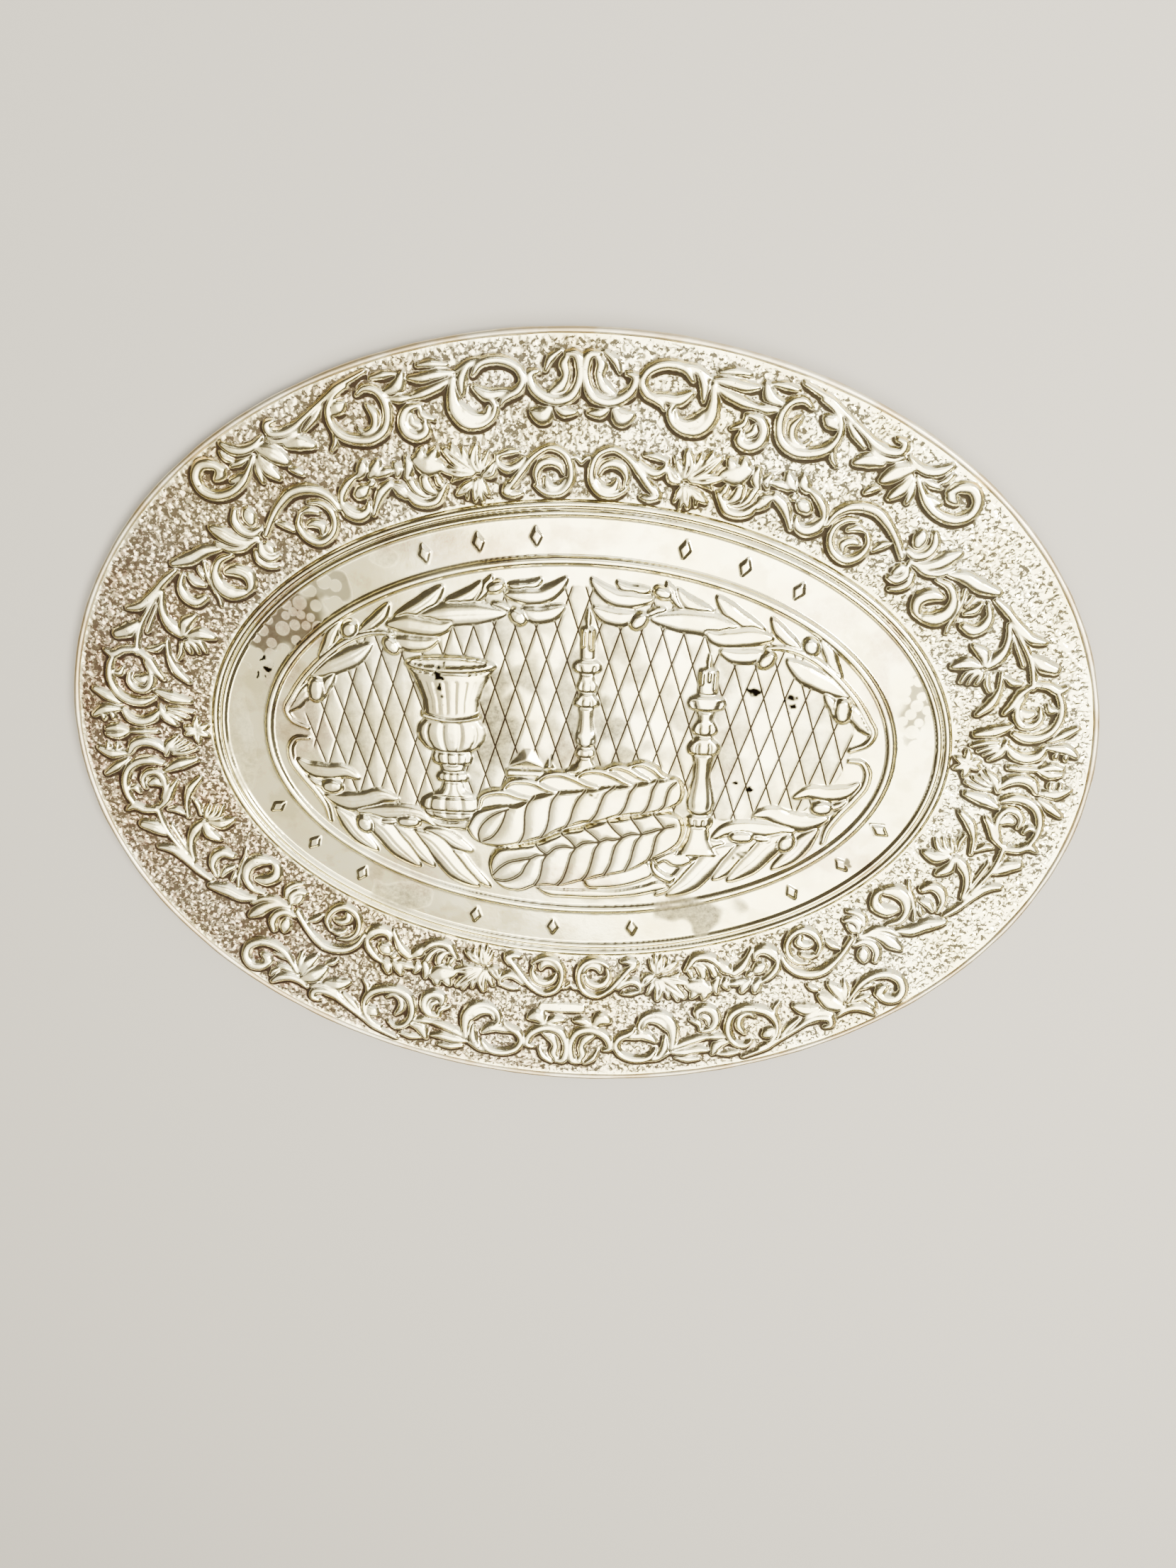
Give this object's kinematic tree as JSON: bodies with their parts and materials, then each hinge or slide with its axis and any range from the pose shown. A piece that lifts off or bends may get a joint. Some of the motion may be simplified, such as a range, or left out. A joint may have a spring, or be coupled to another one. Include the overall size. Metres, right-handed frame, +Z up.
{
  "type": "oval bread tray",
  "caption": "Oval silver-plated Sabbath bread tray: stippled scrollwork border rising to a wired rim, bead mouldings, smooth band and a relief medallion of loaves, goblet and candlesticks.",
  "frame": {"origin": "middle of the flat underside, on the surface the tray rests on", "axes": "+X along the long axis to the right of the medallion picture, +Y to the top of the picture, +Z up out of the dish"},
  "size_m": [0.356, 0.274, 0.0089],
  "materials": {
    "silvered_sheet": "silver plated, stippled border ground, dark patina in the recesses",
    "silvered_bead": "silver plated, rubbed bright",
    "silvered_relief": "silver plated, rubbed bright on the high points",
    "worn_rim": "plating worn through to the base metal"
  },
  "bodies": {
    "root": {"tray_sheet": "silvered_sheet", "rim_wire": "worn_rim", "twin_bead_outer": "silvered_bead", "twin_bead_inner": "silvered_bead", "medallion_bead": "silvered_bead", "outer_scrolls_upper_left": "silvered_relief", "inner_scrolls_upper_left": "silvered_relief", "outer_scrolls_upper_right": "silvered_relief", "inner_scrolls_upper_right": "silvered_relief", "outer_scrolls_lower_left": "silvered_relief", "inner_scrolls_lower_left": "silvered_relief", "outer_scrolls_lower_right": "silvered_relief", "inner_scrolls_lower_right": "silvered_relief", "side_spray_left": "silvered_relief", "side_spray_right": "silvered_relief", "blank_tablet": "silvered_relief", "band_lozenges": "silvered_relief", "front_loaf": "silvered_relief", "rear_loaf": "silvered_relief", "goblet": "silvered_relief", "rear_candlestick": "silvered_relief", "front_candlestick": "silvered_relief", "salt_cellar": "silvered_relief", "olive_branch_upper_left": "silvered_relief", "olive_branch_upper_right": "silvered_relief", "olive_branch_lower_left": "silvered_relief", "olive_branch_lower_right": "silvered_relief", "olives": "silvered_relief"}
  },
  "joints": []
}
